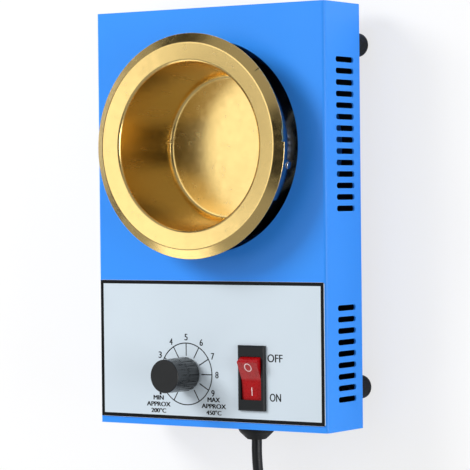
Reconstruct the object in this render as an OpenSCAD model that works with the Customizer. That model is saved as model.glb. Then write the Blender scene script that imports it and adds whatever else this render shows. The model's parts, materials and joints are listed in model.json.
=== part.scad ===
// Bench solder pot: a heated round crucible in a low folded-steel case with a dial and a rocker switch.
// The pot lies on its four feet with the mouth up. X runs across the case, Y runs from the mains lead
// towards the crucible end, and Z points up from the bench.

/* [Case] */
// Width of the case across X
case_w = 133.5; // [118:0.5:180]
// Length of the case along Y
case_l = 204; // [196:1:270]
// Depth of the case, from its back to its face
case_d = 33.5; // [30:0.5:50]
// Thickness of the steel sheet of the cover and the tray
sheet = 1; // [0.8:0.1:1.5]
// Outside radius of the folded edges
bend_r = 1.8; // [1.6:0.1:3]
// Width of the cover's flanges that are folded in under the tray
flange_w = 14; // [12:0.5:18]
// Width of the tray's lips that are folded in under the face
lip_w = 7; // [4:0.5:8]
// Distance that the tray's end walls lie inside the cover's ends
end_inset = 0.5; // [0.3:0.1:1.5]

/* [Vents] */
// Length of each vent slot
vent_len = 16.2; // [8:0.1:18]
// Width of each vent slot
vent_w = 2.7; // [1.5:0.1:3.5]
// Distance between vent slots
vent_pitch = 5.45; // [4.5:0.05:6]
// Slots in the group beside the crucible
crucible_vents = 14; // [6:1:14]
// Slots in the group beside the controls
control_vents = 9; // [4:1:9]
// Depth of the slots' middle below the face
vent_drop = 18.2; // [14:0.1:19]
// Distance from the case's far end to the first slot
vent_end_far = 27.2; // [20:0.1:40]
// Distance from the case's near end to the last slot
vent_end_near = 15; // [10:0.1:25]

/* [Crucible] */
// Radius of the crucible's mouth
mouth_r = 40.5; // [36:0.5:42]
// Radius of the crucible's floor
floor_r = 36.1; // [30:0.1:37]
// Depth of the crucible from its mouth to its floor
crucible_depth = 37.5; // [30:0.5:39]
// Thickness of the crucible
crucible_t = 1.5; // [1:0.1:2]
// Height of the mouth above the case's face
mouth_h = 17.6; // [12:0.1:26]
// Rise of the flange from the mouth to its shoulder
flange_rise = 1.2; // [0.5:0.1:2]
// Radius of the flange's shoulder
shoulder_r = 49.7; // [48:0.1:52]
// Radius of the skirt's edge
skirt_r = 54.4; // [53:0.1:57]
// Fall of the skirt from the shoulder to its edge
skirt_fall = 2.6; // [1:0.1:4]
// Distance from the case's far end to the crucible's axis
crucible_end = 67.5; // [60:0.5:75]

/* [Heater drum] */
// Outer radius of the steel band round the heater
band_r = 48.4; // [47:0.1:49]
// Thickness of the steel band
band_t = 0.6; // [0.4:0.1:1]
// Radius of the hole in the face that the band stands in
drum_hole_r = 51.6; // [50.5:0.1:53]
// Angle of the band's lap seam
lap_angle = -8.6; // [-20:0.1:20]
// Angle that the lap covers
lap_span = 24; // [10:1:40]
// Thickness of the mica band heater
heater_t = 2.4; // [1.5:0.1:3]
// Height of the mica band heater
heater_h = 26; // [15:1:28]
// Gap between the ends of the band heater, as an angle
heater_gap = 12; // [6:1:20]
// Height of the spacers between the tray and the drum's pan
pot_spacer_h = 4; // [3:0.5:10]

/* [Control panel] */
// Width of the control panel
panel_w = 131; // [110:0.5:132]
// Height of the control panel along Y
panel_h = 68; // [60:0.5:80]
// Thickness of the control panel
panel_t = 0.5; // [0.3:0.1:1.5]
// Distance from the panel to the case's near end
panel_margin = 3.3; // [1:0.1:6]

/* [Dial] */
// Position of the dial across the case
dial_x = -13.8; // [-30:0.1:-10]
// Distance from the dial's axis to the case's near end
dial_end = 25.7; // [22:0.1:30]
// Radius of the knob
knob_r = 8.4; // [7.5:0.1:12]
// Height of the knob
knob_h = 18.2; // [12:0.1:24]
// Number of flutes round the knob
knob_flutes = 18; // [12:1:24]
// Gap between the knob and the panel
knob_gap = 0.8; // [0.5:0.1:2]
// Radius of the dial's shaft
shaft_r = 3; // [2.5:0.1:3.2]

/* [Switch] */
// Position of the switch across the case
switch_x = 24.9; // [23.5:0.1:40]
// Distance from the switch's middle to the case's near end
switch_end = 24.9; // [22:0.1:30]
// Length of the switch's bezel along Y
bezel_l = 31.4; // [29.5:0.1:34]
// Width of the switch's bezel
bezel_w = 15.4; // [14.6:0.1:18]
// Thickness of the switch's bezel
bezel_t = 1.8; // [1.2:0.1:3]
// Width of the rocker
rocker_w = 11.2; // [9:0.1:11.2]
// Radius of the rocker's ends about its pivot
rocker_r = 10.8; // [9:0.1:11]
// Tilt of the rocker to each side
rocker_tilt = 15; // [10:1:15]
// Slope of each half of the rocker's top
rocker_dish = 12; // [8:1:14]

/* [Feet] */
// Height of the rubber feet
foot_h = 10; // [9:0.5:15]
// Radius of the rubber feet
foot_r = 6.1; // [5:0.1:7]
// Distance from a foot's middle to the case's side
foot_side = 7; // [6.5:0.1:8]
// Distance from a foot's middle to the case's end
foot_end = 19; // [12:0.5:30]

/* [Mains lead] */
// Diameter of the mains lead
cord_d = 5.1; // [4.5:0.1:6]
// Radius of the gland's dome
gland_r = 9; // [8:0.1:10]
// Length of the gland's dome outside the case
gland_out = 6.8; // [5:0.1:10]
// Depth of the gland's axis below the face
gland_drop = 17; // [15:0.1:18]
// Position of the gland across the case
gland_x = 15.5; // [10:0.1:16]

/* [Hidden] */

$fn = 64;
eps = 0.01;          // overshoot of a cut past the face it opens
fit_gap = 0.3;       // running and assembly clearance
side_gap = bend_r - sheet;   // room beside the tray for the cover's inner bends
thread_gap = 0.05;   // clearance of a screw in its thread

// Levels, from the bench up
face_z = foot_h + case_d;
inner_z = face_z - sheet;
tray_z = foot_h + sheet;
floor_z = tray_z + sheet;
panel_z = face_z + panel_t;

// Crucible levels and its tapered wall
mouth_z = face_z + mouth_h;
shoulder_z = mouth_z + flange_rise;
pot_floor_z = mouth_z - crucible_depth;
pot_bottom_z = pot_floor_z - crucible_t;
pot_y = case_l / 2 - crucible_end;
wall_slope = (mouth_r - floor_r) / crucible_depth;
function wall_out(z) = floor_r + (z - pot_floor_z) * wall_slope + crucible_t;
lip_under_r = wall_out(mouth_z - crucible_t);
function flange_under(r) = mouth_z - crucible_t + (r - mouth_r) / (shoulder_r - mouth_r) * flange_rise;

// Heater drum
pan_z = floor_z + pot_spacer_h;
pan_top_z = pan_z + sheet;
pan_rim_h = 6;
band_in_r = band_r - band_t;
pan_r = band_in_r - 0.2;
band_top_z = flange_under(band_in_r);
heater_z = pot_bottom_z + 4;
heater_top_z = heater_z + heater_h;
lead_hole_a = 20;     // angle of the hole that the heater leads come out of
lead_hole_r = 4.5;
lead_z = face_z - 17;
pot_screw_r = 1.9;
pot_screw_ring = 30;
pot_screw_angles = [30, 150, 270];
rivet_r = 1.2;
rivet_head_r = 2;
rivet_head_t = 0.7;
rivet_angles = [60, 180, 300];
seam_rivet_a = lap_angle - 3;
seam_rivet_z = [face_z + 3, face_z - 8, face_z - 18];

// Control panel, dial and switch
panel_y = -case_l / 2 + panel_margin + panel_h / 2;
dial_y = -case_l / 2 + dial_end;
switch_y = -case_l / 2 + switch_end;
bushing_r = 3.9;
bushing_top_z = panel_z + 5.2;
control_r = 8.2;
control_t = 9;
washer_t = 0.5;
dial_nut_t = 2;
dial_nut_af = 10;
knob_z = panel_z + knob_gap;
knob_skin = 4;        // thickness of the knob above its shaft
shaft_top_z = knob_z + knob_h - knob_skin;
shaft_low_z = inner_z - 6.5;
shaft_flat = 1.2;     // depth of the flat on the shaft
bezel_top_z = panel_z + bezel_t;
pivot_z = face_z - 1.6;
rocker_gap = 0.3;
rocker_centre_h = 3.3;
rocker_floor = 2;
pivot_r = 1.2;
switch_wall = 0.8;
housing_w = rocker_w + 2 * rocker_gap + 2 * switch_wall;
housing_l = bezel_l - 3.8;
housing_deep = 15.5;
housing_z = face_z - housing_deep;
blade_w = 6.3;
blade_t = 0.8;
blade_l = 8;
blade_pitch = 8;
blade_z = housing_z - blade_l;

// Feet and their fasteners
foot_screw_r = 1.5;
foot_well_r = 3.3;
foot_well = 5;
foot_head_r = 2.8;
foot_head_t = 2;
foot_nut_af = 5.5;
foot_nut_t = 2.4;

// Circuit board
board_w = 56;
board_l = 42;
board_t = 1.6;
board_x = -26;
board_y = -case_l / 2 + 30;
board_spacer_h = 5;
board_z = floor_z + board_spacer_h;
board_top_z = board_z + board_t;
board_screw_r = 1.4;
board_screw_in = 5;
sink_x = board_x - 14;
sink_w = 20;
sink_l = 24;
sink_t = 2;
fin_h = 8;
fin_t = 1.2;
fin_pitch = 2.8;
fins = 3;
block_x = board_x + board_w / 2 - 7;
block_y = board_y + 4;
block_w = 9;
block_h = 10;
block_pitch = 5;
block_ways = 3;
block_wire_z = board_top_z + 4;

// Gland and mains lead. The lead's own points were chosen by hand for a case of the first size.
gland_z = face_z - gland_drop;
cord_r = cord_d / 2;
gland_neck_r = 6;
gland_nut_t = 4;
gland_nut_af = 14.6;
wall_out_y = -case_l / 2 + end_inset;
wall_in_y = wall_out_y + sheet;
cord_points = [
    [15.5, -92, 26.5], [15.5, -102, 26.5], [15.5, -109, 26.5], [15.5, -116, 26.5],
    [15.5, -126, 25.1], [15.5, -136, 20.5], [15.5, -143, 14.5], [15.5, -150, 8.5],
    [15.5, -159, 4], [15.5, -168, 2.6], [15.5, -172, 2.6]
];
cord_end_points = [
    [13, -212, 7.8], [13, -215, 7.8], [13, -220, 8.4], [13, -226, 9.5], [13, -231, 10], [13, -234, 10]
];
coil_x = -23.5;
coil_y = -192;
coil_out_r = gland_x - coil_x;
coil_in_r = 21;
coil_top_r = 36.5;
coil_layer = 5.2;
coil_stub = 20;
plug_x = 13;
plug_y = -234;
plug_z = 10;
plug_w = 25;
plug_t = 19.8;
plug_l = 34;
relief_l = 22;
relief_tip_r = 3.6;
relief_root_r = 5.6;
pin_w = 6.3;
pin_t = 1.6;
pin_l = 17;
earth_x = 46;
earth_y = -84;
earth_screw_r = 1.9;

// Colours of the finishes
paint = "#4b9ffe";
gold = "#d9bd7a";
steel = "#c3c7cc";
zinc = "#b9bdb8";
rubber = "#1d1e20";
black = "#232629";

// --- Helpers -------------------------------------------------------------------------------------

function unit(v) = v / norm(v);

// One rounded corner of an outline, as an arc that starts on the side of a and ends on the side of c
function corner_arc(a, b, c, r, steps) =
    let (u = unit(a - b), v = unit(c - b), half = acos(u * v) / 2, middle = b + unit(u + v) * r / sin(half))
    let (from = b + u * r / tan(half) - middle, to = b + v * r / tan(half) - middle)
    let (a0 = atan2(from[1], from[0]), turn = atan2(from[0] * to[1] - from[1] * to[0], from * to))
    [for (i = [0 : steps]) middle + r * [cos(a0 + turn * i / steps), sin(a0 + turn * i / steps)]];

// Outline from corners given as [x, y, radius]
function rounded_outline(corners, steps = 6) =
    let (n = len(corners), at = [for (c = corners) [c[0], c[1]]])
    [for (i = [0 : n - 1])
        each corners[i][2] > 0
            ? corner_arc(at[(i + n - 1) % n], at[i], at[(i + 1) % n], corners[i][2], steps)
            : [at[i]]];

// Smooth curve through points, with a number of steps between each two
function smooth_at(p, i, t) =
    let (n = len(p) - 1, a = p[max(i - 1, 0)], b = p[i], c = p[min(i + 1, n)], d = p[min(i + 2, n)])
    0.5 * (2 * b + (c - a) * t + (2 * a - 5 * b + 4 * c - d) * t * t + (3 * b - a - 3 * c + d) * t * t * t);
function smooth_path(p, steps) =
    concat([for (i = [0 : len(p) - 2]) for (k = [0 : steps - 1]) smooth_at(p, i, k / steps)], [p[len(p) - 1]]);

// Frames carried along a path without twist
function path_dir(p, i) = unit(p[min(i + 1, len(p) - 1)] - p[max(i - 1, 0)]);
function carry(p, i, n) =
    let (t = path_dir(p, i), m = unit(n - (n * t) * t))
    i == len(p) - 1 ? [m] : concat([m], carry(p, i + 1, m));

module swept_tube(path, r, sides, side_dir) {
    normals = carry(path, 0, side_dir);
    rings = len(path);
    points = [
        for (i = [0 : rings - 1])
            let (t = path_dir(path, i), n = normals[i], b = cross(t, n))
            for (k = [0 : sides - 1]) path[i] + r * (cos(360 * k / sides) * n + sin(360 * k / sides) * b)
    ];
    walls = [
        for (i = [0 : rings - 2]) for (k = [0 : sides - 1])
            [i * sides + k, (i + 1) * sides + k, (i + 1) * sides + (k + 1) % sides, i * sides + (k + 1) % sides]
    ];
    start_cap = [for (k = [0 : sides - 1]) k];
    end_cap = [for (k = [sides - 1 : -1 : 0]) (rings - 1) * sides + k];
    polyhedron(points = points, faces = concat([start_cap, end_cap], walls), convexity = 6);
}

module rounded_rect(w, h, r) {
    square([w - 2 * r, h], center = true);
    square([w, h - 2 * r], center = true);
    for (x = [-1, 1], y = [-1, 1])
        translate([x * (w / 2 - r), y * (h / 2 - r)]) circle(r);
}

module slot_2d(length, width) {
    square([width, length - width], center = true);
    for (s = [-1, 1]) translate([0, s * (length - width) / 2]) circle(width / 2);
}

// Extrudes an outline drawn in Y and Z along X
module along_x(length) {
    rotate([90, 0, 90]) linear_extrude(length, center = true) children();
}

// Extrudes an outline drawn in X and Z along Y
module along_y(length) {
    rotate([90, 0, 0]) linear_extrude(length, center = true) children();
}

module at_pot(z = 0) {
    translate([0, pot_y, z]) children();
}

module at_feet() {
    for (x = [-1, 1], y = [-1, 1])
        translate([x * (case_w / 2 - foot_side), y * (case_l / 2 - foot_end), 0]) children();
}

module at_pot_screws() {
    for (a = pot_screw_angles) at_pot() rotate(a) translate([pot_screw_ring, 0, 0]) children();
}

module at_board_screws() {
    for (x = [-1, 1], y = [-1, 1])
        translate([board_x + x * (board_w / 2 - board_screw_in), board_y + y * (board_l / 2 - board_screw_in), 0])
            children();
}

module pan_head_screw(r, head_r, head_t, length) {
    translate([0, 0, -eps]) cylinder(r = r, h = length + eps);
    difference() {
        translate([0, 0, -head_t]) rotate_extrude()
            polygon(rounded_outline([[0, 0, 0], [head_r, 0, head_t * 0.6], [head_r, head_t, 0], [0, head_t, 0]]));
        for (a = [0, 90]) rotate(a) translate([0, 0, -head_t])
            cube([head_r * 1.2, head_r * 0.25, head_t * 0.9], center = true);
    }
}

module hex_nut(across_flats, height, bore_r) {
    difference() {
        cylinder(r = across_flats / sqrt(3), h = height, $fn = 6);
        translate([0, 0, -eps]) cylinder(r = bore_r, h = height + 2 * eps);
    }
}

// --- Case ----------------------------------------------------------------------------------------

module cover_outline() {
    translate([0, foot_h + case_d / 2]) difference() {
        rounded_rect(case_w, case_d, bend_r);
        rounded_rect(case_w - 2 * sheet, case_d - 2 * sheet, bend_r - sheet);
        translate([0, -case_d / 2]) square([case_w - 2 * flange_w, 4 * sheet], center = true);
    }
}

module vent_rows() {
    along_x(case_w + 2) {
        for (i = [0 : crucible_vents - 1])
            translate([case_l / 2 - vent_end_far - i * vent_pitch, face_z - vent_drop]) slot_2d(vent_len, vent_w);
        for (i = [0 : control_vents - 1])
            translate([-case_l / 2 + vent_end_near + i * vent_pitch, face_z - vent_drop]) slot_2d(vent_len, vent_w);
    }
}

module control_holes(z, depth) {
    translate([dial_x, dial_y, z]) cylinder(r = bushing_r + fit_gap, h = depth);
    translate([switch_x, switch_y, z + depth / 2])
        cube([housing_w + 2 * fit_gap, housing_l + 2 * fit_gap, depth], center = true);
}

module cover() {
    color(paint) difference() {
        along_y(case_l) cover_outline();
        vent_rows();
        at_pot(inner_z - 1) cylinder(r = drum_hole_r, h = sheet + 2, $fn = 128);
        control_holes(inner_z - 1, sheet + 2);
        at_feet() translate([0, 0, foot_h - 1]) cylinder(r = foot_screw_r + 0.2, h = sheet + 2);
    }
}

module tray_outline() {
    length = case_l - 2 * end_inset;
    height = inner_z - fit_gap - tray_z;
    translate([0, tray_z + height / 2]) difference() {
        rounded_rect(length, height, bend_r);
        rounded_rect(length - 2 * sheet, height - 2 * sheet, bend_r - sheet);
        translate([0, height / 2]) square([length - 2 * lip_w, 4 * sheet], center = true);
    }
}

module base_tray() {
    color(paint) difference() {
        along_x(case_w - 2 * (sheet + side_gap)) tray_outline();
        at_feet() translate([0, 0, tray_z - 1]) cylinder(r = foot_screw_r + 0.2, h = sheet + 2);
        at_pot_screws() translate([0, 0, tray_z - 1]) cylinder(r = pot_screw_r + 0.2, h = sheet + 2);
        at_board_screws() translate([0, 0, tray_z - 1]) cylinder(r = board_screw_r + 0.2, h = sheet + 2);
        translate([earth_x, earth_y, tray_z - 1]) cylinder(r = earth_screw_r + 0.2, h = sheet + 2);
        translate([gland_x, wall_in_y + 1, gland_z]) rotate([90, 0, 0])
            cylinder(r = gland_neck_r + 0.2, h = sheet + 2);
    }
}

module control_panel() {
    color("#cfdde8") difference() {
        translate([0, panel_y, face_z]) linear_extrude(panel_t) rounded_rect(panel_w, panel_h, 1);
        control_holes(face_z - 1, panel_t + 2);
    }
}

module feet() {
    color(rubber) at_feet() rotate_extrude() polygon(rounded_outline([
        [foot_well_r, 0, 0.4],
        [foot_r - 0.4, 0, 1.2],
        [foot_r, foot_h, 0],
        [foot_screw_r + 0.2, foot_h, 0],
        [foot_screw_r + 0.2, foot_well, 0],
        [foot_well_r, foot_well, 0]
    ]));
}

module foot_screws() {
    color(zinc) at_feet() translate([0, 0, foot_well])
        pan_head_screw(foot_screw_r, foot_head_r, foot_head_t, floor_z + foot_nut_t + 1 - foot_well);
}

module foot_nuts() {
    color(zinc) at_feet() translate([0, 0, floor_z])
        hex_nut(foot_nut_af, foot_nut_t, foot_screw_r + thread_gap);
}

// --- Crucible and heater drum ----------------------------------------------------------------------

// The drawn pot: dished flange, rolled lip, sloped skirt, tapered wall and filleted floor
module crucible_outline() {
    polygon(rounded_outline([
        [0, pot_floor_z, 0],
        [floor_r, pot_floor_z, 2.6],
        [mouth_r, mouth_z, 1.8],
        [shoulder_r, shoulder_z, 1.4],
        [skirt_r, shoulder_z - skirt_fall, 0.3],
        [skirt_r - 0.6, shoulder_z - skirt_fall - 1, 0.3],
        [shoulder_r - 0.4, flange_under(shoulder_r - 0.4), 0.8],
        [lip_under_r, flange_under(lip_under_r), 2],
        [wall_out(pot_bottom_z), pot_bottom_z, 3.6],
        [0, pot_bottom_z, 0]
    ], 8));
}

// A ragged chip and a short split in the skirt's edge
module skirt_damage() {
    chip = [[skirt_r - 1.3, 1], [skirt_r - 0.9, 3], [skirt_r - 1.1, 6], [skirt_r - 0.5, 9], [skirt_r, 14]];
    translate([0, 0, shoulder_z - skirt_fall - 3]) linear_extrude(5) polygon(concat(
        [for (c = chip) c[0] * [cos(c[1]), sin(c[1])]],
        [for (a = [14, 7, 1]) (skirt_r + 2) * [cos(a), sin(a)]]
    ));
    rotate(41.5) translate([skirt_r - 2.2, -0.2, shoulder_z - skirt_fall - 3]) cube([4, 0.4, 5]);
}

module crucible() {
    color(gold) at_pot() difference() {
        rotate_extrude($fn = 144) crucible_outline();
        skirt_damage();
    }
}

module drum_hole(angle, z, r, inside, outside) {
    rotate(angle) translate([inside, 0, z]) rotate([0, 90, 0]) cylinder(r = r, h = outside - inside, $fn = 32);
}

module rivet_holes() {
    for (a = rivet_angles) drum_hole(a, pan_z + pan_rim_h / 2, rivet_r + 0.1, pan_r - 3, band_r + 3);
    for (z = seam_rivet_z) drum_hole(seam_rivet_a, z, rivet_r + 0.1, band_in_r - 1, band_r + 3);
}

// Rolled steel band with a riveted lap seam
module pot_band() {
    color(steel) at_pot() difference() {
        union() {
            translate([0, 0, pan_z]) linear_extrude(band_top_z - pan_z) difference() {
                circle(band_r, $fn = 128);
                circle(band_in_r, $fn = 128);
            }
            translate([0, 0, pan_z]) rotate(lap_angle - lap_span) rotate_extrude(angle = lap_span, $fn = 128)
                translate([band_r - eps, 0]) square([band_t + eps, band_top_z - pan_z - 0.6]);
        }
        rivet_holes();
        drum_hole(lead_hole_a, lead_z, lead_hole_r, band_in_r - 1, band_r + 3);
    }
}

module rivet(reach) {
    rotate([0, 90, 0]) {
        translate([0, 0, -reach]) cylinder(r = rivet_r, h = reach + eps, $fn = 32);
        rotate_extrude($fn = 32) polygon(rounded_outline([
            [0, 0, 0],
            [rivet_head_r, 0, 0],
            [rivet_head_r, rivet_head_t, rivet_head_t * 0.8],
            [0, rivet_head_t, 0]
        ]));
    }
}

module band_rivets() {
    color(steel) at_pot() {
        for (a = rivet_angles) rotate(a) translate([band_r, 0, pan_z + pan_rim_h / 2]) rivet(1.6);
        for (z = seam_rivet_z) rotate(seam_rivet_a) translate([band_r + band_t, 0, z]) rivet(2 * band_t);
    }
}

module pot_pan() {
    color(zinc) at_pot() difference() {
        translate([0, 0, pan_z]) difference() {
            cylinder(r = pan_r, h = pan_rim_h, $fn = 128);
            translate([0, 0, sheet]) cylinder(r = pan_r - sheet, h = pan_rim_h, $fn = 128);
        }
        rivet_holes();
        for (a = pot_screw_angles) rotate(a) translate([pot_screw_ring, 0, pan_z - 1])
            cylinder(r = pot_screw_r + thread_gap, h = sheet + 2);
    }
}

// Mica band heater, wrapped round the tapered wall and open at its clamp
module heater_band() {
    low_r = wall_out(heater_z) + 0.2;
    top_r = wall_out(heater_top_z) + 0.2;
    color("#b7a98a") at_pot() rotate(lead_hole_a + 180 + heater_gap / 2) rotate_extrude(angle = 360 - heater_gap, $fn = 96)
        polygon([
            [low_r, heater_z], [low_r + heater_t, heater_z],
            [top_r + heater_t, heater_top_z], [top_r, heater_top_z]
        ]);
}

// Clamp blocks and screw that pull the band heater tight
module heater_clamp() {
    screw_r = 0.9;
    clamp_r = wall_out(heater_z) + heater_t / 2 + 0.2;
    reach = (clamp_r - screw_r) * sin(heater_gap / 2);
    color(zinc) at_pot() rotate(lead_hole_a + 180) translate([clamp_r, 0, heater_z + 3]) rotate([90, 0, 0])
        cylinder(r = screw_r, h = 2 * reach, center = true, $fn = 24);
}

module insulation_sleeve() {
    gap = heater_t + 0.5;
    low_z = pan_z + pan_rim_h + 0.3;
    color("#e9e6da") at_pot() difference() {
        rotate_extrude($fn = 96) polygon([
            [wall_out(low_z) + gap, low_z],
            [band_in_r - 0.2, low_z],
            [band_in_r - 0.2, heater_top_z],
            [wall_out(heater_top_z) + gap, heater_top_z]
        ]);
        drum_hole(lead_hole_a, lead_z, lead_hole_r, wall_out(low_z) - 2, band_r + 2);
    }
}

module insulation_disc() {
    color("#e9e6da") at_pot(pan_top_z)
        cylinder(r = pan_r - sheet - 0.2, h = pot_bottom_z - pan_top_z, $fn = 96);
}

module pot_spacers() {
    color(zinc) at_pot_screws() translate([0, 0, floor_z]) difference() {
        cylinder(r = 4, h = pot_spacer_h);
        translate([0, 0, -eps]) cylinder(r = pot_screw_r + 0.2, h = pot_spacer_h + 2 * eps);
    }
}

module pot_screws() {
    color(zinc) at_pot_screws() translate([0, 0, tray_z])
        pan_head_screw(pot_screw_r, 3.6, 2.2, pan_top_z - tray_z - 0.2);
}

// --- Dial ------------------------------------------------------------------------------------------

// Shaft section with its flat, also used for the knob's bore
module shaft_section(r) {
    difference() {
        circle(r);
        translate([r - shaft_flat, -r]) square([2 * r, 2 * r]);
    }
}

module knob() {
    cavity_r = dial_nut_af / sqrt(3) + 0.8;
    cavity_h = bushing_top_z + 1 - knob_z;
    color(black) translate([dial_x, dial_y, knob_z]) difference() {
        rotate_extrude($fn = 96) polygon(rounded_outline([
            [0, 0, 0],
            [knob_r, 0, 0.3],
            [knob_r - 0.25, knob_h, 0.6],
            [0, knob_h, 0]
        ]));
        for (i = [0 : knob_flutes - 1]) rotate((i + 0.5) * 360 / knob_flutes)
            translate([knob_r + 1.75, 0, -eps]) cylinder(r = 2, h = knob_h - 1.6, $fn = 24);
        translate([0, 0, -eps]) cylinder(r = cavity_r, h = cavity_h);
        translate([0, 0, cavity_h - 1]) linear_extrude(shaft_top_z - knob_z - cavity_h + 1 + thread_gap)
            shaft_section(shaft_r + thread_gap);
        rotate(-120) translate([knob_r - 0.6, -0.4, -eps]) cube([2, 0.8, knob_h - 1.2]);
    }
}

module dial_shaft() {
    color(steel) translate([dial_x, dial_y, 0]) {
        translate([0, 0, shaft_low_z]) cylinder(r = shaft_r, h = bushing_top_z + 0.5 - shaft_low_z);
        translate([0, 0, bushing_top_z + 0.5 - eps])
            linear_extrude(shaft_top_z - bushing_top_z - 0.5 + eps) shaft_section(shaft_r);
    }
}

module dial_control() {
    color("#8f9499") translate([dial_x, dial_y, 0]) {
        difference() {
            union() {
                translate([0, 0, inner_z - control_t]) cylinder(r = control_r, h = control_t);
                translate([0, 0, inner_z - eps]) cylinder(r = bushing_r, h = bushing_top_z - inner_z + eps);
            }
            translate([0, 0, shaft_low_z - fit_gap]) cylinder(r = shaft_r + fit_gap, h = control_t + 20);
        }
        for (i = [-1 : 1]) translate([5 * i - 0.8, control_r - 3, inner_z - control_t + 1.5])
            cube([1.6, 6.5, 0.6]);
    }
}

module dial_washer() {
    color(steel) translate([dial_x, dial_y, panel_z]) difference() {
        cylinder(r = dial_nut_af / 2 + 0.4, h = washer_t);
        translate([0, 0, -eps]) cylinder(r = bushing_r + 0.1, h = washer_t + 2 * eps);
    }
}

module dial_nut() {
    color(steel) translate([dial_x, dial_y, panel_z + washer_t])
        hex_nut(dial_nut_af, dial_nut_t, bushing_r + thread_gap);
}

// --- Switch ----------------------------------------------------------------------------------------

// Bezel with chamfered edges, made where two trapezoid bars cross
module bezel_block() {
    edge = 0.7;
    intersection() {
        along_x(bezel_w) translate([0, panel_z]) polygon([
            [-bezel_l / 2, 0], [bezel_l / 2, 0], [bezel_l / 2, bezel_t - edge],
            [bezel_l / 2 - edge, bezel_t], [-bezel_l / 2 + edge, bezel_t], [-bezel_l / 2, bezel_t - edge]
        ]);
        along_y(bezel_l) translate([0, panel_z]) polygon([
            [-bezel_w / 2, 0], [bezel_w / 2, 0], [bezel_w / 2, bezel_t - edge],
            [bezel_w / 2 - edge, bezel_t], [-bezel_w / 2 + edge, bezel_t], [-bezel_w / 2, bezel_t - edge]
        ]);
    }
}

module switch_body() {
    well_w = rocker_w + 2 * rocker_gap;
    well_r = rocker_r + rocker_gap;
    well_deep = rocker_floor + rocker_r * sin(rocker_tilt) + 1;
    color(black) translate([switch_x, switch_y, 0]) difference() {
        union() {
            bezel_block();
            translate([-housing_w / 2, -housing_l / 2, housing_z])
                cube([housing_w, housing_l, panel_z - housing_z + eps]);
            for (s = [-1, 1]) scale([1, s, 1]) along_x(housing_w - 4) translate([housing_l / 2, inner_z - 1.4])
                polygon([[-eps, 0], [1, 0], [-eps, -6]]);
        }
        intersection() {
            translate([0, 0, pivot_z]) rotate([0, 90, 0]) cylinder(r = well_r, h = well_w, center = true, $fn = 96);
            translate([-well_w, -well_r - 1, pivot_z - well_deep]) cube([2 * well_w, 2 * well_r + 2, well_deep + 20]);
        }
        translate([0, 0, pivot_z]) rotate([0, 90, 0])
            cylinder(r = pivot_r + fit_gap, h = housing_w + 2, center = true, $fn = 32);
    }
}

module rocker_outline() {
    rise = tan(rocker_dish) * rocker_r;
    intersection() {
        circle(rocker_r, $fn = 96);
        polygon(rounded_outline([
            [0, rocker_centre_h, 6],
            [rocker_r + 1, rocker_centre_h + rise, 0],
            [rocker_r + 1, -rocker_floor, 0],
            [-rocker_r - 1, -rocker_floor, 0],
            [-rocker_r - 1, rocker_centre_h + rise, 0]
        ]));
    }
}

// Two-way rocker, standing with its near half pressed in
module rocker() {
    color("#c4141c") translate([switch_x, switch_y, pivot_z]) rotate([rocker_tilt, 0, 0]) {
        along_x(rocker_w) rocker_outline();
        rotate([0, 90, 0]) cylinder(r = pivot_r, h = housing_w - 0.4, center = true, $fn = 32);
    }
}

module switch_terminals() {
    color("#c9a24a") for (i = [-1 : 1])
        translate([switch_x - blade_w / 2, switch_y + i * blade_pitch - blade_t / 2, blade_z])
            difference() {
                cube([blade_w, blade_t, blade_l]);
                translate([blade_w / 2, -1, 3]) rotate([-90, 0, 0]) cylinder(r = 0.9, h = blade_t + 2, $fn = 24);
            }
}

// --- Power board -----------------------------------------------------------------------------------

module circuit_board() {
    color("#2f7d4a") difference() {
        translate([board_x, board_y, board_z]) linear_extrude(board_t) rounded_rect(board_w, board_l, 1.5);
        at_board_screws() translate([0, 0, board_z - 1]) cylinder(r = board_screw_r + 0.2, h = board_t + 2);
    }
}

module board_spacers() {
    color(zinc) at_board_screws() translate([0, 0, floor_z]) difference() {
        cylinder(r = 2.8, h = board_spacer_h);
        translate([0, 0, -eps]) cylinder(r = board_screw_r + 0.2, h = board_spacer_h + 2 * eps);
    }
}

// Screws from under the tray, each with its nut on the board
module board_screws() {
    color(zinc) at_board_screws() {
        translate([0, 0, tray_z]) pan_head_screw(board_screw_r, 2.7, 1.8, board_top_z + 3 - tray_z);
        translate([0, 0, board_top_z]) cylinder(r = 5 / sqrt(3), h = 2, $fn = 6);
    }
}

module heat_sink() {
    color("#8d9296") translate([sink_x, board_y, board_top_z]) rotate([90, 0, 0])
        linear_extrude(sink_l, center = true) {
            translate([-sink_w / 2, 0]) square([sink_w, sink_t]);
            for (i = [0 : fins - 1]) translate([-sink_w / 2 + i * fin_pitch, 0]) square([fin_t, fin_h]);
            translate([sink_w / 2 - fin_t, 0]) square([fin_t, fin_h]);
        }
}

// TO-220 package flat on the heat sink, with its three legs bent down to the board
module triac() {
    tab_w = 10;
    leg_pitch = 2.54;
    color("#303236") translate([sink_x + 3.2, board_y, board_top_z + sink_t]) {
        difference() {
            translate([-tab_w / 2, 2, 0]) cube([tab_w, 7, 1.3]);
            translate([0, 6, -eps]) cylinder(r = 1.8, h = 2);
        }
        translate([-tab_w / 2, -7, 0]) cube([tab_w, 9 + eps, 4.4]);
        for (i = [-1 : 1]) translate([i * leg_pitch - 0.4, -14, 1.8]) {
            cube([0.8, 7 + eps, 0.6]);
            translate([0, 0, -1.8 - sink_t]) cube([0.8, 0.6, 1.8 + sink_t + 0.6]);
        }
    }
}

module film_capacitors() {
    color("#b8322c") {
        translate([board_x + 1, board_y - 17, board_top_z]) cube([18, 7, 11]);
        translate([board_x - 18, board_y - 19.5, board_top_z]) cube([13, 5, 9]);
    }
}

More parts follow.
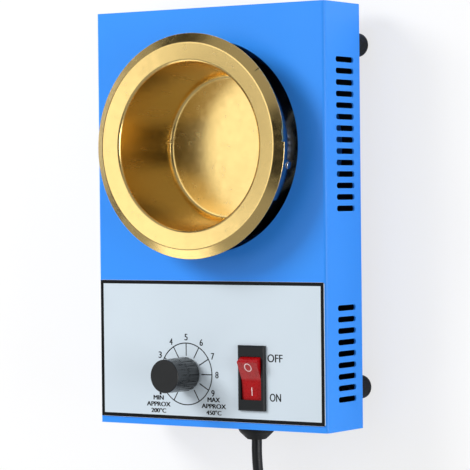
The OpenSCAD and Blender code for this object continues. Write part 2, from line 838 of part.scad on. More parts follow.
module choke() {
    core_r = 4.5;
    winding_r = 2.6;
    color("#a8642c") translate([board_x + 3.5, board_y + 13.5, board_top_z]) rotate_extrude()
        translate([core_r, winding_r]) circle(winding_r, $fn = 24);
}

// Screw terminal block with a wire entry and a clamp screw for each way
module terminal_block() {
    length = block_ways * block_pitch;
    color("#3f8f5a") translate([block_x, block_y, board_top_z]) difference() {
        translate([-block_w / 2, -length / 2, 0]) cube([block_w, length, block_h]);
        for (i = [0 : block_ways - 1]) translate([0, (i - (block_ways - 1) / 2) * block_pitch, 0]) {
            translate([0, 0, block_wire_z - board_top_z]) rotate([0, 90, 0]) cylinder(r = 1.6, h = block_w, $fn = 24);
            translate([0, 0, 6]) cylinder(r = 1.9, h = block_h, $fn = 24);
        }
    }
}

module wire(points, r, side_dir = [0, 0, 1]) {
    swept_tube(smooth_path(points, 3), r, 8, side_dir);
}

function block_entry(way) = [block_x + 1, block_y + (way - 1) * block_pitch, block_wire_z];
function blade_foot(i) = [switch_x, switch_y + i * blade_pitch, blade_z - 0.1];

module dial_wires() {
    top = inner_z - control_t + 1.4;
    pin_y = dial_y + control_r + 3;
    color("#8a8f94") for (i = [-1 : 1]) wire([
        [dial_x + 5 * i, pin_y, top],
        [dial_x + 5 * i, pin_y + 0.2, top - 4],
        [dial_x - 1.5 + 2 * i, pin_y + 0.4, board_top_z + 9],
        [dial_x - 1.5 + 2 * i, pin_y + 0.4, board_top_z]
    ], 0.6, [1, 0, 0]);
}

// A point on a heater lead's way out of the drum: its distance from the heater and its offset sideways
function lead_out(reach, aside) =
    let (r = wall_out(lead_z) + heater_t + 0.5 + reach, c = cos(lead_hole_a), s = sin(lead_hole_a))
    [r * c - aside * s, pot_y + r * s + aside * c, lead_z];

// Sleeved leads from the band heater along the case's side to the switch and the board
module heater_leads() {
    color("#efe6c4") {
        wire([
            lead_out(0, 1.8), lead_out(6, 1.8), lead_out(13, 1.8), [58, 49, lead_z], [60, 40, lead_z - 1],
            [60, 0, lead_z - 1], [59, -30, lead_z - 4], [48, -56, 17], [33, -66, 15.5],
            [26, -69, 16.2], blade_foot(1)
        ], 1.3);
        wire([
            lead_out(0, -1.8), lead_out(6, -1.8), lead_out(12, -1.8), [54, 42, lead_z - 2],
            [56, 30, lead_z - 5], [56, 4, lead_z - 7], [50, -22, 17], [30, -44, 16], [16, -57, 19.5],
            [7, block_y + block_pitch, 22.4], [3, block_y + block_pitch, 22.6], block_entry(2)
        ], 1.3);
    }
}

module mains_wires() {
    start = cord_points[0] + [0, 0.2, 0];
    color("#7a4526") wire([
        start + [1.2, 0, -0.7], start + [1.4, 2, -1], [19.5, -87.5, 20.5], [22.5, -85.6, 17], [24.6, -85.1, 17.4],
        blade_foot(-1)
    ], 0.9, [1, 0, 0]);
    color("#3b5fae") wire([
        start + [-1.2, 0, -0.7], start + [-1.3, 2, -0.8], [12, -82, 24], [7, block_y - block_pitch, 22.6],
        block_entry(0)
    ], 0.9, [1, 0, 0]);
    color("#7a4526") wire([
        blade_foot(0), [24.6, -77, 17.4], [20, -75.5, 16.4], [11, -70, 19.5], [5, block_y, 22.6], block_entry(1)
    ], 0.9, [1, 0, 0]);
}

module earth_wire() {
    start = cord_points[0] + [0, 0.2, 0];
    color("#9fae2e") wire([
        start + [0, 0, 1.2], start + [0, 2.5, 1], [16.4, -84.5, 21], [16.4, -84.8, 16], [20, -89, 13.6],
        [34, -92, 13.4], [earth_x - 5, earth_y - 0.5, floor_z + 1]
    ], 0.9, [1, 0, 0]);
}

// Earth screw with its ring tag, on the tray
module earth_screw() {
    color("#c9a24a") translate([earth_x, earth_y, 0]) {
        translate([0, 0, tray_z]) pan_head_screw(earth_screw_r, 3.4, 2, 7);
        translate([0, 0, floor_z]) {
            cylinder(r = 4, h = 0.8);
            translate([0, 0, 0.8 - eps]) cylinder(r = 7 / sqrt(3), h = 3, $fn = 6);
        }
    }
}

// --- Mains lead --------------------------------------------------------------------------------------

module lead_axis(y) {
    translate([gland_x, y, gland_z]) rotate([90, 0, 0]) children();
}

// Domed gland with a waisted neck through the end wall
module cord_gland() {
    neck = sheet + gland_nut_t + 1.5;
    color(rubber) lead_axis(wall_out_y) difference() {
        rotate_extrude() polygon(rounded_outline([
            [cord_r + 0.15, -neck, 0],
            [gland_neck_r, -neck, 0.5],
            [gland_neck_r, 0, 0],
            [gland_r, 0, 0.3],
            [gland_r, gland_out * 0.38, 3.5],
            [cord_r + 2, gland_out, 1],
            [cord_r + 0.15, gland_out, 0]
        ], 8));
        rotate(-140) translate([gland_r - 3.5, -0.5, 1.5]) cube([6, 1, gland_out]);
    }
}

module gland_nut() {
    color(rubber) lead_axis(wall_in_y + gland_nut_t) hex_nut(gland_nut_af, gland_nut_t, gland_neck_r + thread_gap);
}

module power_cord() {
    color(rubber) swept_tube(cord_points, cord_r, 12, [1, 0, 0]);
}

// Closed outer form of the wound length, with the straight ends that run into it and out of it
module cord_coil() {
    top = cord_r * 2 + coil_layer;
    color(rubber) translate([coil_x, coil_y, 0]) {
        rotate_extrude($fn = 64) polygon([
            [coil_in_r - cord_r + 0.8, 0],
            [coil_out_r + cord_r - 0.8, 0],
            [coil_out_r + cord_r, 1],
            [coil_out_r + cord_r, cord_d - 1],
            [coil_out_r + cord_r - 1, cord_d],
            [coil_top_r + cord_r, cord_d + 0.8],
            [coil_top_r + cord_r, top - 1],
            [coil_top_r + cord_r - 0.8, top],
            [coil_in_r - cord_r + 0.8, top],
            [coil_in_r - cord_r, top - 1],
            [coil_in_r - cord_r, 1]
        ]);
        translate([coil_out_r, coil_stub, cord_points[len(cord_points) - 1][2]]) rotate([90, 0, 0])
            cylinder(r = cord_r, h = coil_stub, $fn = 32);
        translate([coil_top_r, 0, cord_end_points[0][2]]) rotate([90, 0, 0])
            cylinder(r = cord_r, h = coil_stub, $fn = 32);
    }
}

module cord_end() {
    color(rubber) swept_tube(cord_end_points, cord_r, 12, [1, 0, 0]);
}

// Moulded plug with a ribbed, tapered relief at its tail
module plug_body() {
    color(rubber) translate([plug_x, plug_y, plug_z]) rotate([90, 0, 0]) {
        difference() {
            cylinder(r1 = relief_tip_r, r2 = relief_root_r, h = relief_l + 0.5, $fn = 48);
            for (i = [0 : 4]) translate([0, 0, 2.5 + i * 3.8]) difference() {
                cylinder(r = 10, h = 1.4);
                translate([0, 0, -1]) cylinder(r = relief_tip_r - 0.7 + i * 0.35, h = 4);
            }
        }
        translate([0, 0, relief_l]) hull() {
            for (x = [-1, 1], y = [-1, 1]) {
                translate([x * (plug_w / 2 - 4), y * (plug_t / 2 - 4), 8]) cylinder(r = 4, h = plug_l - 8, $fn = 24);
                translate([x * (plug_w / 2 - 7), y * (plug_t / 2 - 5), 0]) cylinder(r = 2.5, h = 1, $fn = 24);
            }
        }
    }
}

module plug_pins() {
    base_y = plug_y - relief_l - plug_l;
    color(steel) translate([plug_x, base_y, plug_z]) {
        for (s = [-1, 1]) translate([s * 6.5, 0, -2.5]) rotate([0, s * 30, 0])
            translate([-pin_w / 2, -pin_l, -pin_t / 2]) cube([pin_w, pin_l, pin_t]);
        translate([-pin_t / 2, -pin_l, 1.5]) cube([pin_t, pin_l, pin_w]);
    }
}

cover();
base_tray();
control_panel();
feet();
foot_screws();
foot_nuts();
crucible();
pot_band();
band_rivets();
pot_pan();
heater_band();
heater_clamp();
insulation_sleeve();
insulation_disc();
pot_spacers();
pot_screws();
knob();
dial_shaft();
dial_control();
dial_washer();
dial_nut();
switch_body();
rocker();
switch_terminals();
circuit_board();
board_spacers();
board_screws();
triac();
heat_sink();
film_capacitors();
choke();
terminal_block();
dial_wires();
heater_leads();
mains_wires();
earth_wire();
earth_screw();
cord_gland();
gland_nut();
power_cord();
cord_coil();
cord_end();
plug_body();
plug_pins();
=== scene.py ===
"""Bench solder pot: finishes, printed scale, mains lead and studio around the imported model."""

import json
import math

import bmesh
import bpy
from mathutils import Matrix, Vector
from mathutils.bvhtree import BVHTree


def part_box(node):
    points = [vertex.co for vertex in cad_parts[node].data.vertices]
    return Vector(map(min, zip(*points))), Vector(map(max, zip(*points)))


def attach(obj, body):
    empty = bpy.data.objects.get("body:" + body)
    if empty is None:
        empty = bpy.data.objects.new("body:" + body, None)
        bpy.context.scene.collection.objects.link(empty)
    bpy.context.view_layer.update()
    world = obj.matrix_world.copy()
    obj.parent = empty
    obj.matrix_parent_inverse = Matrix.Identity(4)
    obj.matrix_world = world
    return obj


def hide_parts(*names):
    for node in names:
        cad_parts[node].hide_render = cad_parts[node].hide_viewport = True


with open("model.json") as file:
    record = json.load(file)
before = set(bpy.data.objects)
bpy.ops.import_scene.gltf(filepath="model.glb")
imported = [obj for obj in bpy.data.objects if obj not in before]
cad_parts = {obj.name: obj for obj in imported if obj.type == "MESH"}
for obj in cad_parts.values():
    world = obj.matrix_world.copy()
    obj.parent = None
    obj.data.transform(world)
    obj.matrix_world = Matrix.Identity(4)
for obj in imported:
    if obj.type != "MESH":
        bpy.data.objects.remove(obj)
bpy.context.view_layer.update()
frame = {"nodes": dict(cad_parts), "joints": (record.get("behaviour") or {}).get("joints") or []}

bl_info = {
    "name": "Bench Solder Pot",
    "version": (1, 0, 0),
    "blender": (4, 5, 0),
    "location": "View3D > Sidebar > Solder Pot",
    "description": "Finishes, printed scale, mains lead and studio for a bench solder pot",
    "category": "Add Mesh",
}

MM = 0.001
JOINTS = {joint["name"]: joint for joint in frame["joints"]}
DIAL_AXIS = Vector(JOINTS["dial_turn"]["pos_m"])
ROCKER_AXIS = Vector(JOINTS["rocker_tip"]["pos_m"])
PANEL_LOW, PANEL_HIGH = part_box("control_panel")
POT_LOW, POT_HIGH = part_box("crucible")
POT_AXIS = (POT_LOW + POT_HIGH) / 2
BOARD_LOW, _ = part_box("circuit_board")

CLOUD_LOW, CLOUD_HIGH = 0.3, 0.7     # soft noise lies mostly between these


# --- Settings ------------------------------------------------------------------------------------

def length_setting(name, description, default, low=0.0, high=2.0):
    """A distance in metres."""
    return bpy.props.FloatProperty(
        name=name, description=description, default=default, min=low, max=high,
        precision=5, unit="LENGTH", subtype="DISTANCE",
    )


def colour_setting(name, description, default):
    """A colour, given as it looks on a screen, such as #4b9ffe."""
    return bpy.props.FloatVectorProperty(
        name=name, description=description, default=screen_colour(default), size=3,
        min=0.0, max=1.0, subtype="COLOR",
    )


def screen_colour(code):
    """Linear red, green and blue of a colour written as #rrggbb."""
    parts = [int(code[i:i + 2], 16) / 255 for i in (1, 3, 5)]
    return tuple(p / 12.92 if p <= 0.04045 else ((p + 0.055) / 1.055) ** 2.4 for p in parts)


class CaseSettings(bpy.types.PropertyGroup):
    """Colours of the case and what is on it"""

    paint: colour_setting("Paint", "Powder coat of the cover and the tray", "#3794ff")
    label: colour_setting("Label", "Ground of the printed control panel", "#d3e0ea")
    ink: colour_setting("Ink", "Print on the control panel", "#08090b")
    plastic: colour_setting("Plastic", "Black moulded plastic", "#101417")
    rubber: colour_setting("Rubber", "Feet and gland", "#0c0e10")


class PotSettings(bpy.types.PropertyGroup):
    """Colours of the crucible and its drum"""

    coating: colour_setting("Coating", "Gold-coloured coating of the crucible", "#eccd86")
    worn: colour_setting("Worn", "Bright metal where the coating has chipped", "#f4e3c0")
    band: colour_setting("Band", "Polished steel of the drum", "#b9bdc4")


class ScaleSettings(bpy.types.PropertyGroup):
    """Printed scale round the dial and the labels beside the switch"""

    ink_height: length_setting("Ink height", "How far the print stands above the label", 0.04 * MM)
    border: length_setting("Border", "Width of the black border of the label", 1.7 * MM)
    ring_radius: length_setting("Ring radius", "Radius of the dial's ring", 15.1 * MM)
    tick_start: length_setting("Tick start", "Radius at which the dial's ticks start", 8.9 * MM)
    line: length_setting("Line", "Width of the ring and the ticks", 0.5 * MM)
    number_radius: length_setting(
        "Number radius", "Distance from the dial's axis to the numbers", 18 * MM)
    number_height: length_setting("Number height", "Height of the numbers", 3.2 * MM)
    number_width: length_setting("Number width", "Width of the numbers", 1.9 * MM)


class LeadSettings(bpy.types.PropertyGroup):
    """The mains lead and its coil"""

    diameter: length_setting("Diameter", "Diameter of the mains lead", 5.1 * MM)
    coil_outer: length_setting("Outer turn", "Radius of the outermost turn, at its middle", 39 * MM)
    coil_inner: length_setting("Inner turn", "Radius of the innermost turn, at its middle", 21 * MM)
    coil_top: length_setting("Top turn", "Radius of the last turn of the upper layer", 36.5 * MM)
    turns_low: bpy.props.FloatProperty(
        name="Lower turns", description="Turns of the lower layer", default=3.5, min=1, max=8)
    turns_high: bpy.props.FloatProperty(
        name="Upper turns", description="Turns of the upper layer", default=3.0, min=1, max=8)
    sheath: colour_setting("Sheath", "Colour of the lead's sheath and its plug", "#111315")


class StudioSettings(bpy.types.PropertyGroup):
    """Camera, floor and lamps"""

    camera_place: bpy.props.FloatVectorProperty(
        name="Camera place", description="Where the camera stands",
        default=(0.6651, 0.0094, 1.0181), size=3, unit="LENGTH", subtype="TRANSLATION")
    camera_aim: bpy.props.FloatVectorProperty(
        name="Camera aim", description="Direction that the camera looks in",
        default=(-0.5547, -0.0152, -0.8319), size=3, subtype="DIRECTION")
    camera_up: bpy.props.FloatVectorProperty(
        name="Camera up", description="Direction that is up in the picture",
        default=(0.0002, 0.9998, -0.0183), size=3, subtype="DIRECTION")
    lens: bpy.props.FloatProperty(
        name="Lens", description="Focal length in millimetres", default=186.2, min=20, max=400,
        unit="CAMERA")
    floor: colour_setting("Floor", "Colour of the floor", "#fdfdfd")
    key_power: bpy.props.FloatProperty(
        name="Key power", description="Power of the large lamp on the left", default=13.5, min=0,
        unit="POWER")
    panel_power: bpy.props.FloatProperty(
        name="Panel power", description="Power of the large dim panel overhead", default=2.8,
        min=0, unit="POWER")
    low_power: bpy.props.FloatProperty(
        name="Low power", description="Power of the lamp on the left near the lead", default=1.5,
        min=0, unit="POWER")
    side_power: bpy.props.FloatProperty(
        name="Side power", description="Power of the low lamp on the right", default=8, min=0,
        unit="POWER")
    sky: bpy.props.FloatProperty(
        name="Sky", description="Strength of the even light from all round", default=0.36, min=0)


SETTINGS = {
    "pot_case": CaseSettings,
    "pot_crucible": PotSettings,
    "pot_scale": ScaleSettings,
    "pot_lead": LeadSettings,
    "pot_studio": StudioSettings,
}


def settings(group):
    """The values of one of the groups above."""
    return getattr(bpy.context.scene, group)


# --- Finishes ------------------------------------------------------------------------------------

class Finish:
    """A material and short ways to add nodes to it."""

    def __init__(self, name, colour, roughness, metallic=0.0, **sockets):
        self.material = bpy.data.materials.new(name)
        self.material.use_nodes = True
        self.tree = self.material.node_tree
        self.shader = self.tree.nodes["Principled BSDF"]
        self.colour = tuple(colour)
        self.set("Base Color", (*self.colour, 1.0))
        self.set("Roughness", roughness)
        self.set("Metallic", metallic)
        for socket, value in sockets.items():
            self.set(socket.replace("_", " "), value)
        self.relief = None
        self.place = self.add("ShaderNodeTexCoord").outputs["Object"]

    def set(self, socket, value):
        self.shader.inputs[socket].default_value = value

    def add(self, kind, **values):
        node = self.tree.nodes.new(kind)
        for name, value in values.items():
            setattr(node, name, value)
        return node

    def join(self, source, target):
        self.tree.links.new(source, target)

    def math(self, operation, *values):
        """One sum on numbers or sockets."""
        node = self.add("ShaderNodeMath", operation=operation)
        for i, value in enumerate(values):
            if isinstance(value, bpy.types.NodeSocket):
                self.join(value, node.inputs[i])
            else:
                node.inputs[i].default_value = value
        return node.outputs[0]

    def moved(self, origin=(0, 0, 0), turn=(0, 0, 0), stretch=(1, 1, 1)):
        """The place on the object, counted from an origin, turned and stretched."""
        node = self.add("ShaderNodeMapping", vector_type="POINT")
        shift = self.add("ShaderNodeVectorMath", operation="SUBTRACT")
        shift.inputs[1].default_value = origin
        self.join(self.place, shift.inputs[0])
        self.join(shift.outputs[0], node.inputs["Vector"])
        node.inputs["Rotation"].default_value = turn
        node.inputs["Scale"].default_value = stretch
        return node.outputs[0]

    def noise(self, size, detail=3.0, place=None, rough=0.5):
        """Soft noise with features of about that size in metres, from 0 to 1."""
        node = self.add("ShaderNodeTexNoise")
        node.inputs["Scale"].default_value = 1 / size
        node.inputs["Detail"].default_value = detail
        node.inputs["Roughness"].default_value = rough
        self.join(place or self.place, node.inputs["Vector"])
        return node.outputs[0]

    def cells(self, size, place=None, feature="F1"):
        """Cells of about that size in metres: the distance to the nearest one's middle or edge."""
        node = self.add("ShaderNodeTexVoronoi", feature=feature)
        node.inputs["Scale"].default_value = 1 / size
        self.join(place or self.place, node.inputs["Vector"])
        return node.outputs["Distance"]

    def bands(self, pitch, direction="Z", place=None, bend=0.0, profile="SIN"):
        """Bands with that pitch in metres across a direction, or round Z with direction RINGS."""
        rings = direction == "RINGS"
        kind = "RINGS" if rings else "BANDS"
        node = self.add("ShaderNodeTexWave", wave_type=kind, wave_profile=profile)
        if rings:
            node.rings_direction = "Z"
        else:
            node.bands_direction = direction
        node.inputs["Scale"].default_value = math.pi / (10 * pitch)
        node.inputs["Distortion"].default_value = bend
        self.join(place or self.place, node.inputs["Vector"])
        return node.outputs["Fac"]

    def between(self, value, low, high, start=0.0, end=1.0):
        """value mapped so that low gives start and high gives end, and clamped."""
        node = self.add("ShaderNodeMapRange", clamp=True)
        for i, number in enumerate((low, high, start, end), 1):
            node.inputs[i].default_value = number
        self.join(value, node.inputs[0])
        return node.outputs[0]

    def paint(self, share, colour):
        """Lays another colour over what the shader has, by a share from 0 to 1."""
        mix = self.add("ShaderNodeMix", data_type="RGBA")
        base = self.shader.inputs["Base Color"]
        if base.is_linked:
            self.join(base.links[0].from_socket, mix.inputs["A"])
        else:
            mix.inputs["A"].default_value = (*self.colour, 1.0)
        mix.inputs["B"].default_value = (*colour, 1.0)
        self.join(share, mix.inputs[0])
        self.join(mix.outputs["Result"], base)

    def vary(self, amount, size, detail=4.0, place=None):
        """Light and dark clouds in the colour, amount apart from it."""
        cloud = self.between(self.noise(size, detail, place), CLOUD_LOW, CLOUD_HIGH)
        self.paint(cloud, tuple(min(1.0, c * (1 + amount)) for c in self.colour))

    def roughen(self, value, low, high):
        """Roughness from low to high as value goes from CLOUD_LOW to CLOUD_HIGH."""
        rough = self.between(value, CLOUD_LOW, CLOUD_HIGH, low, high)
        self.join(rough, self.shader.inputs["Roughness"])

    def bump(self, height, depth, strength=1.0):
        """Relief of that depth in metres, laid over any relief before it."""
        node = self.add("ShaderNodeBump")
        node.inputs["Distance"].default_value = depth
        node.inputs["Strength"].default_value = strength
        self.join(height, node.inputs["Height"])
        if self.relief is not None:
            self.join(self.relief, node.inputs["Normal"])
        self.relief = node.outputs[0]
        self.join(self.relief, self.shader.inputs["Normal"])

    def axis_parts(self, origin):
        """Distance from an upright axis through origin, angle round it in radians, and height."""
        split = self.add("ShaderNodeSeparateXYZ")
        self.join(self.moved(origin), split.inputs[0])
        x, y, z = split.outputs
        squares = self.math("ADD", self.math("MULTIPLY", x, x), self.math("MULTIPLY", y, y))
        return self.math("SQRT", squares), self.math("ARCTAN2", y, x), z


def inside_case(coat):
    """Mask for painted shade: 1 on the faces inside the case, away from the drum, which are painted
    dark in place of the shade there, and 0 outside it.
    """
    (low, high), skin, drum_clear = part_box("cover"), 0.9 * MM, 57 * MM
    split = coat.add("ShaderNodeSeparateXYZ")
    coat.join(coat.place, split.inputs[0])
    share = None
    for axis, margin in ((0, skin), (1, 3 * skin), (2, skin)):
        middle, half = (low[axis] + high[axis]) / 2, (high[axis] - low[axis]) / 2
        depth = coat.math("ABSOLUTE", coat.math("SUBTRACT", split.outputs[axis], middle))
        within = coat.math("LESS_THAN", depth, half - margin)
        share = within if share is None else coat.math("MULTIPLY", share, within)
    radius, _, _ = coat.axis_parts(POT_AXIS)
    return coat.math("MULTIPLY", share, coat.math("GREATER_THAN", radius, drum_clear))


def powder_coat(name, colour):
    """Satin powder coat with a faint orange peel, and painted shade that darkens its faces inside
    the case.
    """
    coat = Finish(name, colour, 0.34, Specular_IOR_Level=0.25)
    coat.vary(0.05, 0.06)
    # painted shade: the faces inside the case, seen through the vent slots, are painted near-black
    # navy in place of the shade that falls there
    coat.paint(inside_case(coat), screen_colour("#0c1626"))
    coat.roughen(coat.noise(0.012, 5), 0.31, 0.38)
    coat.bump(coat.noise(0.0022, 2), 0.00002)
    coat.bump(coat.noise(0.0004, 2), 0.000004)
    return coat.material


def gold_coating():
    """Satin gold coating of the drawn pot, with faint turning marks, clouds and a chipped edge."""
    pot = settings("pot_crucible")
    rim_start, rim_end = 53.4 * MM, 54.3 * MM
    chip_angle, chip_near, chip_far = 0.2, 0.25, 0.9
    coat = Finish("gold_coating", pot.coating, 0.24, 1.0)
    radius, angle, _ = coat.axis_parts(POT_AXIS)
    coat.vary(0.05, 0.03)
    streaks = coat.noise(0.004, 5, coat.moved(POT_AXIS, stretch=(1, 1, 0.1)))
    coat.roughen(streaks, 0.20, 0.28)
    edge = coat.between(radius, rim_start, rim_end)
    chips = coat.between(coat.noise(0.0013, 5), 0.52, 0.62)
    away = coat.math("ABSOLUTE", coat.math("SUBTRACT", angle, chip_angle))
    damaged = coat.between(away, chip_near, chip_far, 1.0, 0.0)
    coat.paint(coat.math("MULTIPLY", coat.math("MULTIPLY", edge, chips), damaged), pot.worn)
    specks = coat.between(coat.cells(0.0075), 0.015, 0.03, 0.45, 0.0)
    coat.paint(specks, screen_colour("#8a6a30"))
    rings = coat.bands(0.00045, "RINGS", coat.moved(POT_AXIS), 0.6)
    coat.bump(rings, 0.0000022)
    coat.bump(coat.noise(0.0009, 3), 0.000003)
    return coat.material


def polished_steel(name, colour, roughness=0.14):
    """Rolled steel with fine drawn lines round the drum."""
    steel = Finish(name, colour, roughness, 1.0)
    steel.vary(-0.08, 0.03)
    steel.roughen(steel.noise(0.006, 5), roughness - 0.03, roughness + 0.07)
    steel.bump(steel.noise(0.004, 4, steel.moved(stretch=(1, 1, 60))), 0.000004)
    return steel.material


def zinc_plate():
    """Zinc plate with a cloudy spangle."""
    zinc = Finish("zinc_plate", screen_colour("#b9bdb9"), 0.34, 1.0)
    zinc.vary(-0.2, 0.004)
    zinc.roughen(zinc.cells(0.0035), 0.28, 0.48)
    zinc.bump(zinc.noise(0.0006, 3), 0.000008)
    return zinc.material


def threaded_plate():
    """Zinc-plated screws and nuts: the same plate with a fine thread."""
    plate = Finish("threaded_plate", screen_colour("#b4b8b4"), 0.32, 1.0)
    plate.vary(-0.15, 0.003)
    plate.roughen(plate.noise(0.002, 3), 0.26, 0.42)
    plate.bump(plate.bands(0.0005, "Z", profile="TRI"), 0.00012)
    return plate.material


def label_film():
    """Satin label film with a very fine grain."""
    film = Finish("label_film", settings("pot_case").label, 0.38, Specular_IOR_Level=0.4)
    film.vary(0.035, 0.05)
    film.roughen(film.noise(0.004, 4), 0.35, 0.43)
    film.bump(film.noise(0.00035, 2), 0.000004)
    return film.material


def printing_ink(name, colour):
    """Flat screen-printed ink with a slightly uneven gloss."""
    ink = Finish(name, colour, 0.5, Specular_IOR_Level=0.2)
    ink.vary(0.3, 0.0015)
    ink.roughen(ink.noise(0.0008, 3), 0.4, 0.52)
    ink.bump(ink.noise(0.0003, 2), 0.000003)
    return ink.material


def moulded_plastic(name, colour, roughness=0.4, grain=0.000008):
    """Moulded plastic with a fine spark-eroded grain."""
    plastic = Finish(name, colour, roughness, Specular_IOR_Level=0.35)
    plastic.vary(0.2, 0.004)
    plastic.roughen(plastic.noise(0.002, 4), roughness - 0.05, roughness + 0.08)
    plastic.bump(plastic.noise(0.0004, 3), grain)
    return plastic.material


def knob_plastic():
    """Glossy fluted skirt and a matt cap with fine turned rings."""
    knob = Finish("knob_plastic", screen_colour("#1c1e20"), 0.14, Specular_IOR_Level=0.6)
    _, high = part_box("knob")
    _, _, height = knob.axis_parts((DIAL_AXIS.x, DIAL_AXIS.y, high.z))
    cap = knob.between(height, -0.35 * MM, -0.15 * MM)
    knob.paint(cap, screen_colour("#0b0e11"))
    gloss = knob.between(cap, 0, 1, 0.12, 0.46)
    haze = knob.between(knob.noise(0.002, 4), CLOUD_LOW, CLOUD_HIGH, 0.0, 0.06)
    knob.join(knob.math("ADD", gloss, haze), knob.shader.inputs["Roughness"])
    rings = knob.bands(0.0004, "RINGS", knob.moved((DIAL_AXIS.x, DIAL_AXIS.y, 0)))
    knob.bump(knob.math("MULTIPLY", rings, cap), 0.000012)
    knob.bump(knob.noise(0.0005, 3), 0.000005)
    return knob.material


def rocker_plastic():
    """Red moulded plastic."""
    red = Finish("red_plastic", screen_colour("#b4060e"), 0.26, Specular_IOR_Level=0.35)
    red.vary(-0.25, 0.003)
    red.roughen(red.noise(0.0012, 4), 0.22, 0.36)
    red.bump(red.noise(0.0005, 3), 0.00001)
    return red.material


def soft_rubber(name, colour, roughness=0.55):
    """Moulded rubber with a dull bloom."""
    rubber = Finish(name, colour, roughness, Specular_IOR_Level=0.35)
    rubber.vary(0.5, 0.003)
    rubber.roughen(rubber.noise(0.0015, 5), roughness - 0.07, roughness + 0.1)
    rubber.bump(rubber.noise(0.0006, 4), 0.00002)
    return rubber.material


def mica_sheet():
    """Pressed mica with shiny flakes."""
    mica = Finish("mica_sheet", screen_colour("#a8926a"), 0.4, Specular_IOR_Level=0.6)
    mica.paint(mica.between(mica.cells(0.0022), 0.2, 0.7), screen_colour("#6f5c3d"))
    mica.roughen(mica.cells(0.0016), 0.2, 0.55)
    mica.bump(mica.cells(0.0022), 0.00004)
    return mica.material


def ceramic_wool():
    """Pressed ceramic fibre with loose threads."""
    wool = Finish("ceramic_wool", screen_colour("#e6e2d4"), 0.95, Sheen_Weight=0.3)
    threads = wool.noise(0.0012, 8, wool.moved(turn=(0.3, 0.5, 0.2), stretch=(1, 3, 6)), 0.7)
    wool.paint(wool.between(threads, 0.35, 0.65), screen_colour("#c9c2ac"))
    wool.bump(threads, 0.0003)
    return wool.material


def board_laminate():
    """Green laminate with paler copper tracks under the mask and tinned pads."""
    board = Finish("board_laminate", screen_colour("#1f6a3a"), 0.32, Coat_Weight=0.4,
                   Coat_Roughness=0.15)
    tracks = board.cells(0.005, board.moved(BOARD_LOW), "DISTANCE_TO_EDGE")
    board.paint(board.between(tracks, 0.07, 0.1), screen_colour("#2f8a50"))
    pads = board.cells(0.0048, board.moved(BOARD_LOW, stretch=(1, 1, 0)))
    board.paint(board.between(pads, 0.1, 0.13, 1.0, 0.0), screen_colour("#c8ccc8"))
    board.bump(board.between(tracks, 0.07, 0.1), 0.00003)
    return board.material


def wound_copper():
    """Enamelled copper wound round the choke's ring."""
    low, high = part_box("choke")
    winding_turns = 44
    wire = Finish("wound_copper", screen_colour("#a85a26"), 0.28, 0.9, Coat_Weight=0.5)
    _, angle, _ = wire.axis_parts((low + high) / 2)
    turns = wire.math("SINE", wire.math("MULTIPLY", angle, winding_turns))
    wire.paint(wire.between(turns, -0.9, -0.4, 1.0, 0.0), screen_colour("#43210e"))
    wire.roughen(wire.noise(0.001, 3), 0.24, 0.36)
    wire.bump(turns, 0.00025)
    return wire.material


def glass_sleeving():
    """Woven glass-fibre sleeving."""
    sleeve = Finish("glass_sleeving", screen_colour("#ece2bd"), 0.7, Sheen_Weight=0.2)
    one = sleeve.bands(0.0009, "X", sleeve.moved(turn=(0.0, 0.5, 0.8)))
    other = sleeve.bands(0.0009, "X", sleeve.moved(turn=(0.0, -0.5, -0.8)))
    weave = sleeve.math("MAXIMUM", one, other)
    sleeve.paint(sleeve.between(weave, 0.2, 0.8, 1.0, 0.0), screen_colour("#bfae7e"))
    sleeve.bump(weave, 0.00012)
    return sleeve.material


def wire_jacket(name, colour):
    """Glossy wire insulation."""
    wire = Finish(name, colour, 0.35, Specular_IOR_Level=0.5)
    wire.vary(0.15, 0.004)
    wire.roughen(wire.noise(0.003, 3), 0.3, 0.42)
    wire.bump(wire.noise(0.0008, 3), 0.00001)
    return wire.material


def mains_conductors():
    """Brown conductors, with the blue one that runs from the gland to the terminal block."""
    slant = 0.35
    gland_start, gland_end = -70.5 * MM, -70.0 * MM
    blue_start, blue_end = 15.0 * MM, 15.4 * MM
    wire = Finish("mains_conductors", screen_colour("#5d3119"), 0.35)
    split = wire.add("ShaderNodeSeparateXYZ")
    wire.join(wire.place, split.inputs[0])
    slope = wire.math("ADD", split.outputs[1], wire.math("MULTIPLY", split.outputs[0], slant))
    near_gland = wire.between(slope, gland_start, gland_end, 1.0, 0.0)
    left = wire.between(split.outputs[0], blue_start, blue_end, 1.0, 0.0)
    wire.paint(wire.math("MULTIPLY", near_gland, left), screen_colour("#2449a8"))
    wire.roughen(wire.noise(0.003, 3), 0.3, 0.42)
    wire.bump(wire.noise(0.0008, 3), 0.00001)
    return wire.material


def striped_earth():
    """Green insulation with a yellow stripe."""
    wire = Finish("striped_earth", screen_colour("#3d8a2f"), 0.35)
    stripe = wire.bands(0.0016, "X", wire.moved(turn=(0, 0.6, 0.5)))
    wire.paint(wire.between(stripe, 0.45, 0.55), screen_colour("#e8d42c"))
    wire.roughen(wire.noise(0.003, 3), 0.3, 0.42)
    wire.bump(wire.noise(0.0008, 3), 0.00001)
    return wire.material


def machined_metal(name, colour, roughness=0.3):
    """Plain metal with fine random marks."""
    metal = Finish(name, colour, roughness, 1.0)
    metal.vary(-0.12, 0.003)
    metal.roughen(metal.noise(0.0015, 5), roughness - 0.06, roughness + 0.1)
    metal.bump(metal.noise(0.0005, 4, metal.moved(stretch=(1, 6, 1))), 0.000008)
    return metal.material


def lead_sheath():
    """Matt flexible sheath of the mains lead, slightly uneven over its cores."""
    sheath = Finish("lead_sheath", settings("pot_lead").sheath, 0.42, Specular_IOR_Level=0.4)
    sheath.vary(0.35, 0.006)
    sheath.roughen(sheath.noise(0.002, 5), 0.36, 0.5)
    sheath.bump(sheath.noise(0.005, 3), 0.00006)
    sheath.bump(sheath.noise(0.0005, 3), 0.00001)
    return sheath.material


